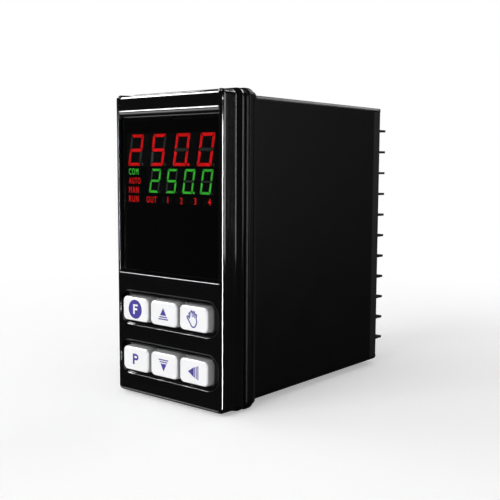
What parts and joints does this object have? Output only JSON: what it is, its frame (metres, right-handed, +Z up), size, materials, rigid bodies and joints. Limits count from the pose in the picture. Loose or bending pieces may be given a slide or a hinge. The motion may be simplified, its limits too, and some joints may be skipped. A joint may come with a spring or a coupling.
{
  "type": "pid temperature controller",
  "caption": "Tall narrow panel-mounted process controller: glossy black front with two digital readouts and white keys on a plug-in unit, deep black case with rear screw terminals.",
  "frame": {"origin": "centre of the panel cut-out, in the plane of the panel's front face that the gasket presses on", "axes": "+X to the right seen from the front, +Y back into the panel, +Z up; the front faces -Y"},
  "size_m": [0.048, 0.092, 0.096],
  "materials": {
    "case_plastic": "fine satin black moulding",
    "black_rubber": "matt black rubber",
    "strip_plastic": "satin black moulding",
    "tinned_brass": "tinned stamping",
    "zinc_steel": "bright zinc plate",
    "bezel_plastic": "polished black moulding",
    "smoked_window": "polished smoked acrylic",
    "mask_film": "matt black film",
    "display_black": "matt black face",
    "red_light": "lit diffuser",
    "dark_segment": "unlit diffuser",
    "green_light": "lit diffuser",
    "diffuser": "unlit diffuser",
    "key_white": "semi-gloss white",
    "plunger_plastic": "moulded",
    "switch_plastic": "moulded",
    "circuit_board": "solder mask",
    "socket_plastic": "moulded",
    "core_steel": "varnished laminations",
    "coil_tape": "yellow winding tape",
    "relay_plastic": "moulded",
    "chip_epoxy": "moulded epoxy",
    "capacitor_sleeve": "printed sleeve"
  },
  "bodies": {
    "case": {"rear_case": "case_plastic", "panel_gasket": "black_rubber", "barrier_strip_right": "strip_plastic", "barrier_strip_left": "strip_plastic", "terminal_tabs_right": "tinned_brass", "terminal_tabs_left": "tinned_brass", "wire_clamps_right": "zinc_steel", "wire_clamps_left": "zinc_steel", "terminal_screws_right": "zinc_steel", "terminal_screws_left": "zinc_steel"},
    "plug_in_unit": {"front_bezel": "bezel_plastic", "front_seal": "black_rubber", "display_window": "smoked_window", "window_mask": "mask_film", "upper_display_block": "display_black", "red_segments_lit": "red_light", "red_segments_dark": "dark_segment", "lower_display_block": "display_black", "green_segments_lit": "green_light", "green_segments_dark": "dark_segment", "status_light_box": "display_black", "status_diffusers": "diffuser", "key_switches": "switch_plastic", "display_board": "circuit_board", "board_screws": "zinc_steel", "power_board": "circuit_board", "control_board": "circuit_board", "terminal_socket_right": "socket_plastic", "terminal_socket_left": "socket_plastic", "board_headers": "socket_plastic", "transformer_core": "core_steel", "transformer_coil": "coil_tape", "relays": "relay_plastic", "processor_chip": "chip_epoxy", "capacitors": "capacitor_sleeve"},
    "function_key": {"key_function": "key_white", "plunger_function": "plunger_plastic"},
    "up_key": {"key_up": "key_white", "plunger_up": "plunger_plastic"},
    "manual_key": {"key_manual": "key_white", "plunger_manual": "plunger_plastic"},
    "program_key": {"key_program": "key_white", "plunger_program": "plunger_plastic"},
    "down_key": {"key_down": "key_white", "plunger_down": "plunger_plastic"},
    "shift_key": {"key_shift": "key_white", "plunger_shift": "plunger_plastic"}
  },
  "joints": [
    {"name": "unit_slide", "type": "slide", "parent": "case", "child": "plug_in_unit", "axis": [0, -1, 0], "range_m": [0, 0.07]},
    {"name": "function_key_press", "type": "slide", "parent": "plug_in_unit", "child": "function_key", "axis": [0, 1, 0], "range_m": [0, 0.0008], "stiffness_N_per_m": 2000, "springref_m": -0.0005},
    {"name": "up_key_press", "type": "slide", "parent": "plug_in_unit", "child": "up_key", "axis": [0, 1, 0], "range_m": [0, 0.0008], "stiffness_N_per_m": 2000, "springref_m": -0.0005},
    {"name": "manual_key_press", "type": "slide", "parent": "plug_in_unit", "child": "manual_key", "axis": [0, 1, 0], "range_m": [0, 0.0008], "stiffness_N_per_m": 2000, "springref_m": -0.0005},
    {"name": "program_key_press", "type": "slide", "parent": "plug_in_unit", "child": "program_key", "axis": [0, 1, 0], "range_m": [0, 0.0008], "stiffness_N_per_m": 2000, "springref_m": -0.0005},
    {"name": "down_key_press", "type": "slide", "parent": "plug_in_unit", "child": "down_key", "axis": [0, 1, 0], "range_m": [0, 0.0008], "stiffness_N_per_m": 2000, "springref_m": -0.0005},
    {"name": "shift_key_press", "type": "slide", "parent": "plug_in_unit", "child": "shift_key", "axis": [0, 1, 0], "range_m": [0, 0.0008], "stiffness_N_per_m": 2000, "springref_m": -0.0005}
  ]
}
